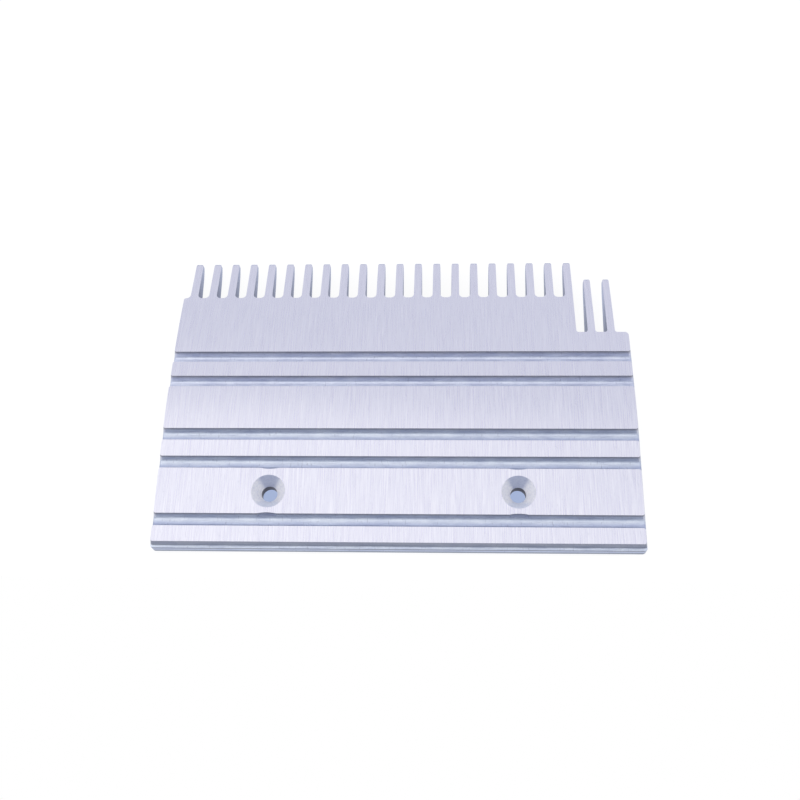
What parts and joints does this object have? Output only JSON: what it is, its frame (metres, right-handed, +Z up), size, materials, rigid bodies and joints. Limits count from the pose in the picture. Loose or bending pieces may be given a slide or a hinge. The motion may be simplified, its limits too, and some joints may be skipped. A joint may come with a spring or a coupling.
{
  "type": "escalator comb plate",
  "caption": "Cast aluminium escalator comb plate with a grooved, gently bent top, countersunk screw holes and a row of drafted comb teeth, the end ones set back.",
  "frame": {"origin": "on the flat seat face of the underside, midway between the two screw holes", "axes": "+X along the comb row towards the set-back teeth, +Y towards the tooth tips, +Z up out of the tread face"},
  "size_m": [0.2143, 0.1483, 0.0187],
  "materials": {
    "comb_plate": "satin"
  },
  "bodies": {
    "root": {"comb_plate": "comb_plate"}
  },
  "joints": []
}
